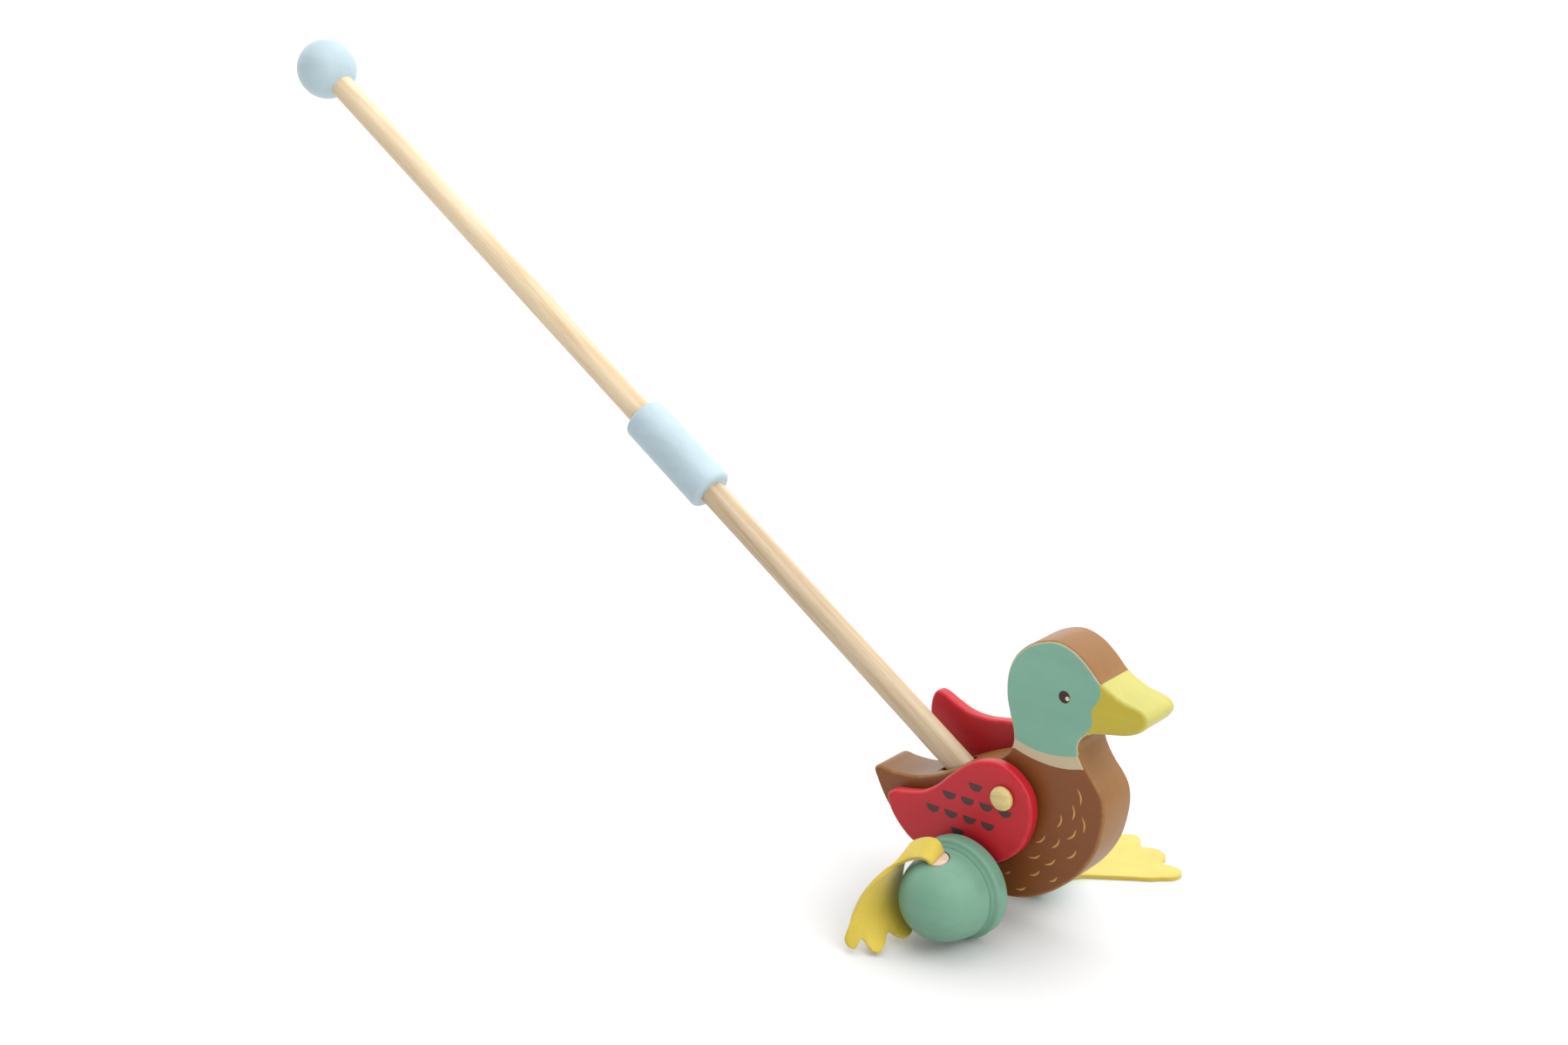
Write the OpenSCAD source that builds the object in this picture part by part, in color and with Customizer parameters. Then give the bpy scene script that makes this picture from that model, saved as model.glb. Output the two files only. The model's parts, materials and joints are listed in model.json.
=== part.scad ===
// Wooden push-along duck: board body, two hinged wings, egg-shaped wheels with leather feet,
// and a two-piece push rod with a ball grip.
// +X is forward (the beak), +Y is the duck's left, +Z is up.
// The origin is on the ground, midway between the wheels, under the axle.

/* [Body] */
// Thickness of the body board
body_t = 28; // [27:0.5:28]
// How far the body's edges are eased
edge_r = 2; // [1:0.5:2.5]

/* [Wheels] */
// Radius of a wheel's rim
wheel_r = 28.5; // [28:0.5:29]
// Distance from the middle to a wheel's inner face
wheel_in = 27; // [26.5:0.5:28]
// Width of the rim
rim_w = 9.5; // [8:0.5:10]
// Radius of the dome where it leaves the rim
dome_r = 25.2; // [25:0.1:25.6]
// How far the dome stands out from the groove
dome_len = 31; // [30:0.5:32]
// Radius of the axle
axle_r = 4; // [3:0.5:5]

/* [Wings] */
// Thickness of a wing
wing_t = 8; // [7:0.5:8]
// How far the left wing is raised at rest, in degrees
left_raise = 36; // [0:1:40]

/* [Rod] */
// Radius of the push rod
rod_r = 7.5; // [6:0.25:7.5]
// Lean of the rod above the ground, in degrees
rod_lean = 34; // [30:1:40]
// Length of the rod from the duck's back to the ball's centre
rod_reach = 602; // [450:1:650]
// Radius of the ball grip
ball_r = 18.75; // [16:0.25:20]
// Length of the sleeve that joins the two halves of the rod
sleeve_len = 64; // [50:1:80]
// Radius of the sleeve
sleeve_r = 13.5; // [11:0.5:14]

/* [Feet] */
// Thickness of the leather
leather_t = 2.3; // [1.8:0.1:2.4]
// Width of a foot's strap
strap_w = 12; // [10:0.5:12]

/* [Hidden] */
$fn = 96;

right = -1;
left = 1;
half_t = body_t / 2;
glue_gap = 0.02;      // radial, a glued dowel in its hole
turn_gap = 0.08;      // radial, a pin that its hole turns on

// Wings: a washer, then the wing, then the peg's head
pivot = [21, 84];     // X and Z
washer_t = 1.9;
washer_r = 8;
wing_in = half_t + 2;
wing_out = wing_in + wing_t;
peg_r = 4;
peg_depth = 10;       // how far a peg goes into the body
head_r = 6.6;
head_gap = 0.2;
head_rise = 4.6;

// Axle, spacers and wheels
axle_z = wheel_r;
spacer_r = 9;
spacer_gap = 0.3;
axle_half = wheel_in + 20;
groove_y = wheel_in + rim_w + 2.5;
dome_steps = 20;
dome_fullness = 0.9;  // below 1 a cosine dome is fuller

// A foot's hole in the dome: turned about the axle, then tilted with the surface
hole_r = 6.5;
hole_depth = 11;
hole_y = 50;
hole_out = 23.9;      // surface distance from the axle at hole_y
hole_tilt = 15;
hole_turn = -3.6;     // the right wheel's; the left wheel's is half a turn on
left_yaw = 62;        // the left foot splays outwards by this much
plug_r = hole_r - 0.05;
plug_len = 10;
strap_gap = 0.05;

// Rod: measured along its axis from the point where it meets the back
rod_foot = [-24, 82.9];
rod_depth = 34;       // how far the rod goes into the body
socket_r = rod_r + 0.05;
mouth_r = rod_r + 2;
mouth_depth = 9;
sleeve_mid = 245;
sleeve_round = 3;
rod_in_ball = 4;      // past the ball's centre
half_gap = 0.2;       // between the two halves inside the sleeve

// A closed smooth curve through the points, as a list of points
function curve_at(p, q, r, s, t) =
    0.5 * ((2 * q) + (r - p) * t + (2 * p - 5 * q + 4 * r - s) * t * t
           + (3 * q - p - 3 * r + s) * t * t * t);
function smooth(pts, steps = 4) =
    [for (i = [0 : len(pts) - 1], k = [0 : steps - 1])
        curve_at(pts[(i + len(pts) - 1) % len(pts)], pts[i], pts[(i + 1) % len(pts)],
                 pts[(i + 2) % len(pts)], k / steps)];

// The same closed curve drawn d inside itself; the points run clockwise
function unit(v) = v / norm(v);
function inset(pts, d) =
    [for (i = [0 : len(pts) - 1])
        let (along = unit(pts[(i + 1) % len(pts)] - pts[(i + len(pts) - 1) % len(pts)]))
            pts[i] + d * [along[1], -along[0]]];

// Body outline, clockwise seen from the right: tail, back, head, beak, throat, breast, belly
duck_pts = [[-71.3, 70.5], [-68, 73], [-60, 72.4], [-48, 73.2], [-36, 76.4], [-26, 80.8],
            [-15, 87], [-4, 92.5], [7, 97.5], [14.5, 103.5], [18.5, 110.5], [18.6, 118],
            [16, 127], [13.8, 137], [14.2, 149], [18, 159], [25, 166.5], [34, 171.5],
            [44, 173.7], [54, 171], [62.5, 165], [69.5, 158], [76, 154.2], [83, 151.2],
            [90, 149.8], [95.5, 147.6], [97.6, 143.3], [94, 137.4], [87, 133.4], [78, 131.2],
            [69, 129.4], [64, 127.4], [60, 123.4], [58.8, 118.6], [61.2, 112.6], [65.7, 106],
            [70.5, 100.6], [74, 95], [75.5, 88], [75, 79], [72.3, 66.8], [67.5, 56.4],
            [60.5, 46.5], [51.5, 37.7], [41.6, 30.1], [31.4, 24.7], [20, 21.6], [4, 20.3],
            [-12, 22], [-27, 27], [-41.5, 34.3], [-54, 43.6], [-63.3, 54.4], [-69, 64.5]];

// Wing outline about its pivot, clockwise, in the low position
wing_pts = [[-75.6, -21.8], [-72.5, -17.6], [-62.5, -15.3], [-53.1, -12.5], [-43.9, -6.4],
            [-34.9, 2.5], [-26, 10.4], [-19, 14.8], [-11.2, 17.3], [-4.1, 17.8], [2.4, 16.2],
            [8.4, 12.6], [13.9, 6.7], [16.6, 0.5], [17.4, -7.2], [16, -15.8], [11.1, -27.1],
            [1, -36.7], [-11, -42.6], [-25, -46], [-40, -46.8], [-55.4, -44.3],
            [-64.2, -39.3], [-72.2, -30.6]];

// Shapes standing in the XZ plane, between two distances from the middle on one side
module board(pts, from_y, to_y) {
    translate([0, to_y, 0]) rotate([90, 0, 0]) linear_extrude(to_y - from_y) polygon(pts);
}

module rod_y(r, from_y, to_y, side) {
    translate([0, side * from_y, 0]) rotate([-90 * side, 0, 0]) cylinder(r = r, h = to_y - from_y);
}

module about_y(side, first_y) {
    translate([0, side * first_y, 0]) rotate([-90 * side, 0, 0]) rotate_extrude() children();
}

module along_rod(distance) {
    translate([rod_foot[0], 0, rod_foot[1]]) rotate([0, rod_lean - 90, 0])
        translate([0, 0, distance]) children();
}

module at_hole(side) {
    turn = side == right ? hole_turn : 180 + hole_turn;
    translate([0, 0, axle_z]) rotate([0, turn, 0]) translate([0, side * hole_y, hole_out])
        rotate([-side * hole_tilt, 0, 0]) rotate([0, 0, side == right ? 0 : -left_yaw]) children();
}

module duck_body() {
    outline = smooth(duck_pts);
    color("#84522F") difference() {
        union() {
            board(outline, edge_r - half_t, half_t - edge_r);
            board(inset(outline, edge_r * 0.3), edge_r * 0.4 - half_t, half_t - edge_r * 0.4);
            board(inset(outline, edge_r * 0.8), -half_t, half_t);
        }
        translate([0, half_t + 1, axle_z]) rotate([90, 0, 0])
            cylinder(r = axle_r + turn_gap, h = body_t + 2);
        for (side = [right, left])
            translate([pivot[0], 0, pivot[1]])
                rod_y(peg_r + glue_gap, half_t - peg_depth, half_t + 1, side);
        along_rod(-rod_depth) cylinder(r = socket_r, h = rod_depth + 20);
        along_rod(-mouth_depth) cylinder(r = mouth_r, h = mouth_depth + 20);
    }
}

module rod_lower() {
    color("#D3BD9C") along_rod(0.3 - rod_depth)
        cylinder(r = rod_r, h = rod_depth - 0.3 + sleeve_mid - half_gap);
}

module rod_upper() {
    color("#E3CFAF") along_rod(sleeve_mid + half_gap)
        cylinder(r = rod_r, h = rod_reach + rod_in_ball - sleeve_mid - half_gap);
}

// A sleeve with rounded ends, bored for the rod
module rod_sleeve() {
    edge = sleeve_r - sleeve_round;
    corner = sleeve_len / 2 - sleeve_round;
    color("#C5D8DF") along_rod(sleeve_mid) difference() {
        union() {
            cylinder(r = sleeve_r, h = 2 * corner, center = true);
            cylinder(r = edge, h = sleeve_len, center = true);
            for (end = [-corner, corner])
                translate([0, 0, end]) rotate_extrude() translate([edge, 0]) circle(r = sleeve_round);
        }
        cylinder(r = socket_r, h = sleeve_len + 2, center = true);
    }
}

module ball_knob() {
    color("#C5D8DF") along_rod(rod_reach) difference() {
        sphere(r = ball_r);
        translate([0, 0, -ball_r - 1]) cylinder(r = socket_r, h = ball_r + 1 + rod_in_ball + 0.3);
    }
}

// A dowel with a domed head, through the wing and into the body
module wing_peg(side) {
    head_from = wing_out + head_gap;
    rim = 2;
    color("#D7C88C") translate([pivot[0], 0, pivot[1]]) {
        rod_y(peg_r, half_t - peg_depth + 0.3, head_from, side);
        about_y(side, head_from)
            polygon(concat([[0, 0], [head_r, 0]],
                [for (a = [0 : 10 : 90]) [head_r * cos(a), rim + (head_rise - rim) * sin(a)]]));
    }
}

module wing_washer(side) {
    color("#D7C88C") translate([pivot[0], 0, pivot[1]])
        about_y(side, half_t) translate([peg_r + turn_gap, 0]) square([washer_r - peg_r - turn_gap, washer_t]);
}

module wing(side, raise) {
    outline = smooth(wing_pts);
    first = side == right ? -wing_out : wing_in;
    color("#B03038") translate([pivot[0], 0, pivot[1]]) rotate([0, raise, 0]) difference() {
        union() {
            board(outline, first + 1.2, first + wing_t - 1.2);
            board(inset(outline, 0.8), first, first + wing_t);
        }
        rod_y(peg_r + turn_gap, wing_in - 1, wing_out + 1, side);
    }
}

module axle() {
    color("#D3BD9C") translate([0, axle_half, axle_z]) rotate([90, 0, 0])
        cylinder(r = axle_r, h = 2 * axle_half);
}

// A collar on the axle, between the body and the wheel, which also stops a wing that drops
module hub_spacer(side) {
    color("#D3BD9C") translate([0, 0, axle_z]) about_y(side, half_t + spacer_gap)
        translate([axle_r + glue_gap, 0])
            square([spacer_r - axle_r - glue_gap, wheel_in - half_t - spacer_gap]);
}

// Half of a wheel's section, from the axis out: rim, soft groove, then the egg-shaped dome
module wheel_section() {
    shoulder = groove_y - wheel_in;
    ease = 1.5;
    polygon(concat(
        [[0, 0], [wheel_r - ease, 0]],
        [for (a = [-60 : 30 : 0]) [wheel_r - ease + ease * cos(a), ease + ease * sin(a)]],
        [for (a = [0 : 22.5 : 67.5])
            [wheel_r - ease + ease * cos(a), rim_w - ease + ease * sin(a)]],
        [[wheel_r - 3, rim_w + 0.7], [dome_r - 0.2, rim_w + 1.3]],
        [for (i = [0 : dome_steps - 1]) let (a = 90 * i / dome_steps)
            [dome_r * pow(cos(a), dome_fullness), shoulder + dome_len * sin(a)]],
        [[0, shoulder + dome_len]]));
}

module wheel(side) {
    color("#80B29B") difference() {
        translate([0, 0, axle_z]) about_y(side, wheel_in) wheel_section();
        translate([0, 0, axle_z]) rod_y(axle_r + glue_gap, wheel_in - 1, axle_half + 0.3, side);
        at_hole(side) translate([0, 0, -hole_depth]) cylinder(r = hole_r, h = hole_depth + 10);
    }
}

// Half of a dowel, wedged beside the strap
module strap_plug(side) {
    color("#E1CDBE") at_hole(side) translate([0, 0, -hole_depth + 0.3]) intersection() {
        cylinder(r = plug_r, h = plug_len);
        translate([0, -plug_r, 0]) cube([plug_r, 2 * plug_r, plug_len]);
    }
}

// The glued end of a foot's strap, up to the bend where the leather starts to flex
module foot_tab(side) {
    proud = side == right ? 3 : 1;
    color("#D0BE4B") at_hole(side)
        translate([-leather_t - strap_gap, -strap_w / 2, -hole_depth + 0.5])
            cube([leather_t, strap_w, hole_depth - 0.5 + proud]);
}

// Leather rows as [outer edge, middle, inner edge], from the strap's bend to the toes.
// The right foot hangs off the top of its dome and is draped down behind it to the ground.
right_rows = [
    [[-6, -56.6, 52.6], [-5.3, -51.2, 56], [-4.7, -45.6, 59.6]],
    [[-10.4, -56.8, 51.6], [-9.9, -51.3, 55.5], [-9.6, -45.8, 59.5]],
    [[-14.9, -57.6, 49.6], [-14.8, -52.2, 53.6], [-14.8, -46.6, 57.4]],
    [[-19.8, -60.8, 46.2], [-19.4, -55.2, 50.3], [-19.5, -48.8, 53.8]],
    [[-25.1, -68.5, 41.5], [-22.9, -59.8, 43.5], [-23.2, -48.6, 44.6]],
    [[-30, -75.4, 33.5], [-26.3, -63, 34.9], [-26.5, -46, 35.4]],
    [[-33.7, -80, 23.6], [-28.1, -66, 25.5], [-28, -44, 26.7]],
    [[-35.9, -82.8, 13.7], [-27.8, -69, 16.8], [-27, -44, 17.5]],
    [[-35.7, -84, 6.2], [-25, -73, 9.3], [-19, -48.5, 8.6]],
    [[-31.6, -83.4, 2.6], [-19.8, -77.4, 4], [-11.5, -52.5, 3.9]],
    [[-24.4, -81.6, 1.8], [-17, -79.4, 1.9], [-12.4, -63.6, 1.9]]];

// The left foot lies on the ground: distance along it, half its width, height of its middle
left_plan = [[3.8, 6, 2.2], [8, 6, 1.5], [14, 6, 1.3], [20, 6.6, 1.3], [30, 11, 1.3],
             [40, 16.4, 1.3], [50, 21.4, 1.3], [60, 26, 1.3], [68, 28.4, 1.3],
             [74, 25, 1.3], [78, 8, 1.3]];
left_start = [hole_out * sin(180 + hole_turn), hole_y];
heading = [cos(left_yaw), sin(left_yaw)];
left_rows = [for (p = left_plan) let (mid = left_start + p[0] * heading, side = [-heading[1], heading[0]])
    [for (v = [1, 0, -1]) [mid[0] + v * p[1] * side[0], mid[1] + v * p[1] * side[1], p[2]]]];

// A closed sheet of leather through the rows, five points across
across = [1, 0.5, 0, -0.5, -1];
function on_row(row, v) = row[0] * v * (v + 1) / 2 + row[1] * (1 - v * v) + row[2] * v * (v - 1) / 2;
function sheet_grid(rows) = [for (row = rows) [for (v = across) on_row(row, v)]];
function sheet_normal(grid, i, j) =
    let (a = grid[min(i + 1, len(grid) - 1)][j] - grid[max(i - 1, 0)][j],
         b = grid[i][min(j + 1, 4)] - grid[i][max(j - 1, 0)])
        unit(cross(a, b));

module leather_sheet(rows) {
    grid = sheet_grid(rows);
    n = len(rows);
    wide = len(across);
    points = [for (face = [0.5, -0.5], i = [0 : n - 1], j = [0 : wide - 1])
        grid[i][j] + face * leather_t * sheet_normal(grid, i, j)];
    back = n * wide;
    faces = concat(
        [for (i = [0 : n - 2], j = [0 : wide - 2]) let (a = i * wide + j)
            each [[a, a + 1, a + wide + 1], [a, a + wide + 1, a + wide]]],
        [for (i = [0 : n - 2], j = [0 : wide - 2]) let (a = back + i * wide + j)
            each [[a, a + wide + 1, a + 1], [a, a + wide, a + wide + 1]]],
        [for (i = [0 : n - 2], j = [0, wide - 1]) let (a = i * wide + j, b = a + wide)
            each j == 0 ? [[a, b, back + b], [a, back + b, back + a]]
                        : [[a, back + b, b], [a, back + a, back + b]]],
        [for (j = [0 : wide - 2], i = [0, n - 1]) let (a = i * wide + j, b = a + 1)
            each i == 0 ? [[a, back + b, b], [a, back + a, back + b]]
                        : [[a, b, back + b], [a, back + b, back + a]]]);
    polyhedron(points = points, faces = faces);
}

module foot(side) {
    color("#D0BE4B") leather_sheet(side == right ? right_rows : left_rows);
}

duck_body();
rod_lower();
rod_upper();
rod_sleeve();
ball_knob();
wing_peg(right);  // wing_peg_right
wing_peg(left);  // wing_peg_left
wing_washer(right);  // wing_washer_right
wing_washer(left);  // wing_washer_left
wing(right, 0);  // wing_right
wing(left, left_raise);  // wing_left
axle();
hub_spacer(right);  // hub_spacer_right
hub_spacer(left);  // hub_spacer_left
wheel(right);  // wheel_right
wheel(left);  // wheel_left
strap_plug(right);  // strap_plug_right
strap_plug(left);  // strap_plug_left
foot_tab(right);  // foot_tab_right
foot_tab(left);  // foot_tab_left
foot(right);  // foot_right
foot(left);  // foot_left
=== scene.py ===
import json
import math
import bmesh
import bpy
from mathutils import Matrix, Vector
from mathutils.geometry import delaunay_2d_cdt


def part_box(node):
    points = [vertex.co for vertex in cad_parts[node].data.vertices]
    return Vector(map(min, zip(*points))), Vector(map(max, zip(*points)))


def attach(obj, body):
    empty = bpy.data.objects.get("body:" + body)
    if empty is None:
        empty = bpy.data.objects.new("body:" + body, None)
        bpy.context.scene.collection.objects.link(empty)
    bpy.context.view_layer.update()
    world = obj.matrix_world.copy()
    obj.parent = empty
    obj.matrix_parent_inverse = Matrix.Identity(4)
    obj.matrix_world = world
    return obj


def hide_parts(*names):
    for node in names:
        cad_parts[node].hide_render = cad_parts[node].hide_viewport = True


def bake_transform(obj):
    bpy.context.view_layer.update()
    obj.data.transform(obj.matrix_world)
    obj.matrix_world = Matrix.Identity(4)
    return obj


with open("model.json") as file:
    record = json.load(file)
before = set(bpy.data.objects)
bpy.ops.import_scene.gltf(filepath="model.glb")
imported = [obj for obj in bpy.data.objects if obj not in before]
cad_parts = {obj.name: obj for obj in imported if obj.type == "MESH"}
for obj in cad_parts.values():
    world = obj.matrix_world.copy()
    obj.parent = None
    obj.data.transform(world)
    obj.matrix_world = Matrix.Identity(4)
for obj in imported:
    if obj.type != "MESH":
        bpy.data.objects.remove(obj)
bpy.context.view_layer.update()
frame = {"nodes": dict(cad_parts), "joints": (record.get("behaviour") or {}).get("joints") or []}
mm = 0.001
scene = bpy.context.scene
print("frame loaded")


def middleOf(node):
    low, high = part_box(node)
    return (low + high) / 2


def jointPlace(name):
    return Vector(next(j["pos_m"] for j in frame["joints"] if j["name"] == name))


def jointRange(name):
    return next(j["range_deg"] for j in frame["joints"] if j["name"] == name)


def tint(red, green, blue):
    def linear(value):
        share = value / 255
        return share / 12.92 if share < 0.04045 else ((share + 0.055) / 1.055) ** 2.4
    return (linear(red), linear(green), linear(blue), 1.0)


def shade(colour, amount):
    return (colour[0] * amount, colour[1] * amount, colour[2] * amount, 1.0)


# camera, set out first so every piece can be judged against it
viewSetup = {"target": (-0.1469, 0, 0.1943), "distance": 1.2018,  # metres
             "azimuth": 39.5, "elevation": 18.0,  # degrees
             "lens": 49.154}


def placeCamera():
    azimuth = math.radians(viewSetup["azimuth"])
    elevation = math.radians(viewSetup["elevation"])
    away = Vector((math.sin(azimuth) * math.cos(elevation),
                   -math.cos(azimuth) * math.cos(elevation), math.sin(elevation)))
    lensData = bpy.data.cameras.new("view")
    lensData.lens = viewSetup["lens"]
    camera = bpy.data.objects.new("view", lensData)
    camera.location = Vector(viewSetup["target"]) + away * viewSetup["distance"]
    camera.rotation_euler = away.to_track_quat("Z", "Y").to_euler()
    scene.collection.objects.link(camera)
    scene.camera = camera


placeCamera()
print("camera placed")


# node helpers: a wire is a socket that sums can be written with
class Wire:
    def __init__(self, board, socket):
        self.board = board
        self.socket = socket

    def join(self, operation, first, second):
        return self.board.add("ShaderNodeMath", {"operation": operation}, {0: first, 1: second})

    def __add__(self, other):
        return self.join("ADD", self, other)

    def __radd__(self, other):
        return self.join("ADD", other, self)

    def __sub__(self, other):
        return self.join("SUBTRACT", self, other)

    def __rsub__(self, other):
        return self.join("SUBTRACT", other, self)

    def __mul__(self, other):
        return self.join("MULTIPLY", self, other)

    def __rmul__(self, other):
        return self.join("MULTIPLY", other, self)


class NodeBoard:
    def __init__(self, tree):
        self.tree = tree

    def add(self, kind, settings=None, values=None, output=0):
        node = self.tree.nodes.new(kind)
        for key, value in (settings or {}).items():
            if key == "stops":
                self.fillRamp(node.color_ramp, value)
            else:
                setattr(node, key, value)
        for key, value in (values or {}).items():
            self.feed(node.inputs[key], value)
        return Wire(self, node.outputs[output])

    def feed(self, socket, value):
        if isinstance(value, Wire):
            self.tree.links.new(value.socket, socket)
        else:
            socket.default_value = value

    def fillRamp(self, ramp, stops):
        while len(ramp.elements) < len(stops):
            ramp.elements.new(0.5)
        for element, (position, colour) in zip(ramp.elements, stops):
            element.position = position
            element.color = colour


class Finish(NodeBoard):
    def __init__(self, name, constants):
        self.material = bpy.data.materials.new(name)
        self.material.use_nodes = True
        super().__init__(self.material.node_tree)
        self.shader = self.tree.nodes["Principled BSDF"]
        for socketName, value in constants.items():
            self.shader.inputs[socketName].default_value = value
        self.place = self.add("ShaderNodeTexCoord", output="Object")

    # stretch below 1 draws a pattern out along that axis
    def stretched(self, stretch, turn=(0, 0, 0), centre=(0, 0, 0)):
        moved = self.add("ShaderNodeMapping", None, {"Vector": self.place, "Location": centre})
        turned = self.add("ShaderNodeMapping", None, {"Vector": moved, "Rotation": turn})
        return self.add("ShaderNodeMapping", None, {"Vector": turned, "Scale": stretch})

    def noise(self, scale, detail=3.0, place=None, rough=0.5, warp=0.0):
        values = {"Vector": place or self.place, "Scale": scale, "Detail": detail,
                  "Roughness": rough, "Distortion": warp}
        return self.add("ShaderNodeTexNoise", None, values, "Fac")

    def step(self, value, low, high):
        settings = {"interpolation_type": "SMOOTHSTEP"}
        return self.add("ShaderNodeMapRange", settings,
                        {"Value": value, "From Min": low, "From Max": high}, "Result")

    def blendColour(self, factor, first, second):
        return self.add("ShaderNodeMix", {"data_type": "RGBA"}, {0: factor, 6: first, 7: second}, 2)

    def ramp(self, value, stops):
        return self.add("ShaderNodeValToRGB", {"stops": stops}, {"Fac": value}, "Color")

    def bump(self, height, strength, distance):
        return self.add("ShaderNodeBump", None,
                        {"Height": height, "Strength": strength, "Distance": distance}, "Normal")

    def edge(self):
        return self.add("ShaderNodeAttribute", {"attribute_name": "edge"}, None, "Fac")

    def done(self, colour, roughness, normal):
        self.feed(self.shader.inputs["Base Color"], colour)
        self.feed(self.shader.inputs["Roughness"], roughness)
        self.feed(self.shader.inputs["Normal"], normal)
        return self.material


# satin paint over wood: soft clouding, grain telegraphing through, rubbed edges
def paintedWood(name, colour, rubbed, sheen=0.3, grainTurn=(0, 0, 0), worn=0.16):
    paint = Finish(name, {"Specular IOR Level": 0.3})
    cloud = paint.noise(34, 3)
    grainPlace = paint.stretched((0.05, 1, 1), grainTurn)
    grain = paint.noise(620, 4, grainPlace, 0.6, 0.4)
    broad = paint.noise(150, 2, grainPlace, 0.5, 0.6)
    peel = paint.noise(1500, 2)
    tone = paint.blendColour(cloud, shade(colour, 0.9), shade(colour, 1.1))
    streak = paint.step(broad, 0.4, 0.68) * 0.22
    tone = paint.blendColour(streak, tone, shade(colour, 0.8))
    pores = paint.step(grain, 0.6, 0.78) * 0.16
    tone = paint.blendColour(pores, tone, shade(colour, 0.62))
    rub = paint.edge() * paint.step(paint.noise(260, 4), 0.48, 0.68) * worn
    tone = paint.blendColour(rub, tone, rubbed)
    height = grain * 0.5 + peel * 0.25 + broad * 0.4
    return paint.done(tone, sheen + cloud * 0.12 + grain * 0.06 + rub * 0.15,
                      paint.bump(height, 0.16, 0.0006))


# bare lacquered wood with its grain along the piece: rings, fibres and short pores
def naturalWood(name, pale, dark, along, centre=(0, 0, 0), sheen=0.46):
    wood = Finish(name, {"Specular IOR Level": 0.4, "Coat Weight": 0.1, "Coat Roughness": 0.28})
    turn = along.rotation_difference(Vector((0, 0, 1))).to_euler()
    drawn = wood.stretched((1, 1, 0.035), turn, centre)
    rings = wood.noise(170, 3, drawn, 0.55, 1.2)
    fibres = wood.noise(1500, 5, drawn, 0.65, 0.3)
    cloud = wood.noise(22, 2)
    pores = wood.step(wood.noise(2300, 2, wood.stretched((1, 1, 0.06), turn, centre)), 0.64, 0.76)
    tone = wood.ramp(rings, [(0.3, pale), (0.5, shade(pale, 0.93)), (0.66, dark), (0.8, pale)])
    tone = wood.blendColour(wood.step(fibres, 0.42, 0.7) * 0.4, tone, dark)
    tone = wood.blendColour(cloud * 0.3, tone, shade(pale, 1.05))
    tone = wood.blendColour(pores * 0.45, tone, shade(dark, 0.6))
    height = fibres * 0.6 + rings * 0.3 - pores * 0.5
    return wood.done(tone, sheen + fibres * 0.1 + pores * 0.1, wood.bump(height, 0.22, 0.0005))


def dyedLeather(name, colour):
    hide = Finish(name, {"Specular IOR Level": 0.5, "Sheen Weight": 0.8, "Sheen Roughness": 0.35})
    cells = hide.add("ShaderNodeTexVoronoi", {"feature": "DISTANCE_TO_EDGE"},
                     {"Vector": hide.place, "Scale": 1250.0, "Randomness": 1.0}, "Distance")
    crease = hide.step(cells, 0.0, 0.16)
    cloud = hide.noise(45, 4)
    blotch = hide.noise(140, 4, None, 0.6, 0.5)
    fibre = hide.noise(3200, 3)
    tone = hide.blendColour(cloud, shade(colour, 0.86), shade(colour, 1.1))
    tone = hide.blendColour(hide.step(blotch, 0.5, 0.75) * 0.35, tone, shade(colour, 0.74))
    tone = hide.blendColour((1 - crease) * 0.3, tone, shade(colour, 0.6))
    cut = hide.edge()
    tone = hide.blendColour(cut * 0.7, tone, shade(colour, 0.8))
    height = crease * 0.5 + fibre * 0.35 + blotch * 0.5
    return hide.done(tone, 0.5 + blotch * 0.12 + cut * 0.15, hide.bump(height, 0.35, 0.0005))


brownColour = tint(125, 72, 33)
rubbedBrown = tint(168, 118, 74)
bodyFinishes = {
    "brown": paintedWood("brown paint", brownColour, rubbedBrown),
    # the straight rim is a lighter brown than the face: a painted highlight for the light from the top and
    # the side
    "rim": paintedWood("brown rim paint", tint(132, 91, 46), tint(186, 146, 102)),
    "teal": paintedWood("teal paint", tint(118, 165, 144), tint(150, 186, 168)),
    "cream": paintedWood("cream paint", tint(188, 171, 140), tint(205, 192, 165)),
    "yellow": paintedWood("yellow paint", tint(186, 168, 52), tint(212, 200, 120)),
    # paler yellow on the beak's straight rim: a painted highlight
    "beakRimPaintedHighlight": paintedWood("pale yellow rim paint", tint(176, 170, 88), tint(214, 208, 150)),
    "pupil": paintedWood("eye paint", tint(48, 28, 24), tint(70, 48, 40), 0.25),
    "glint": paintedWood("eye glint paint", tint(214, 196, 160), tint(225, 210, 180), 0.3)}
redFinish = paintedWood("red paint", tint(184, 30, 42), tint(206, 70, 78))
greenFinish = paintedWood("green paint", tint(106, 147, 125), tint(130, 170, 150), 0.3)
blueFinish = paintedWood("blue paint", tint(166, 184, 192), tint(190, 205, 210), 0.32)
markFinish = paintedWood("dark mark paint", tint(72, 44, 44), tint(100, 66, 60))
strokeFinish = paintedWood("feather stroke paint", tint(196, 142, 82), tint(210, 164, 110))
leatherFinish = dyedLeather("yellow leather", tint(208, 183, 62))
sideways = Vector((0, 1, 0))
pegWood = naturalWood("peg wood", tint(210, 190, 130), tint(184, 160, 98), Vector((1, 0, 0.2)))
hiddenWood = naturalWood("dowel wood", tint(220, 198, 165), tint(190, 160, 120), sideways)
plugWood = naturalWood("plug wood", tint(216, 190, 172), tint(186, 152, 128), Vector((0, 0.3, 1)))
print("finishes made")


def newObject(name, mesh):
    made = bpy.data.objects.new(name, mesh)
    scene.collection.objects.link(made)
    return made


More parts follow.
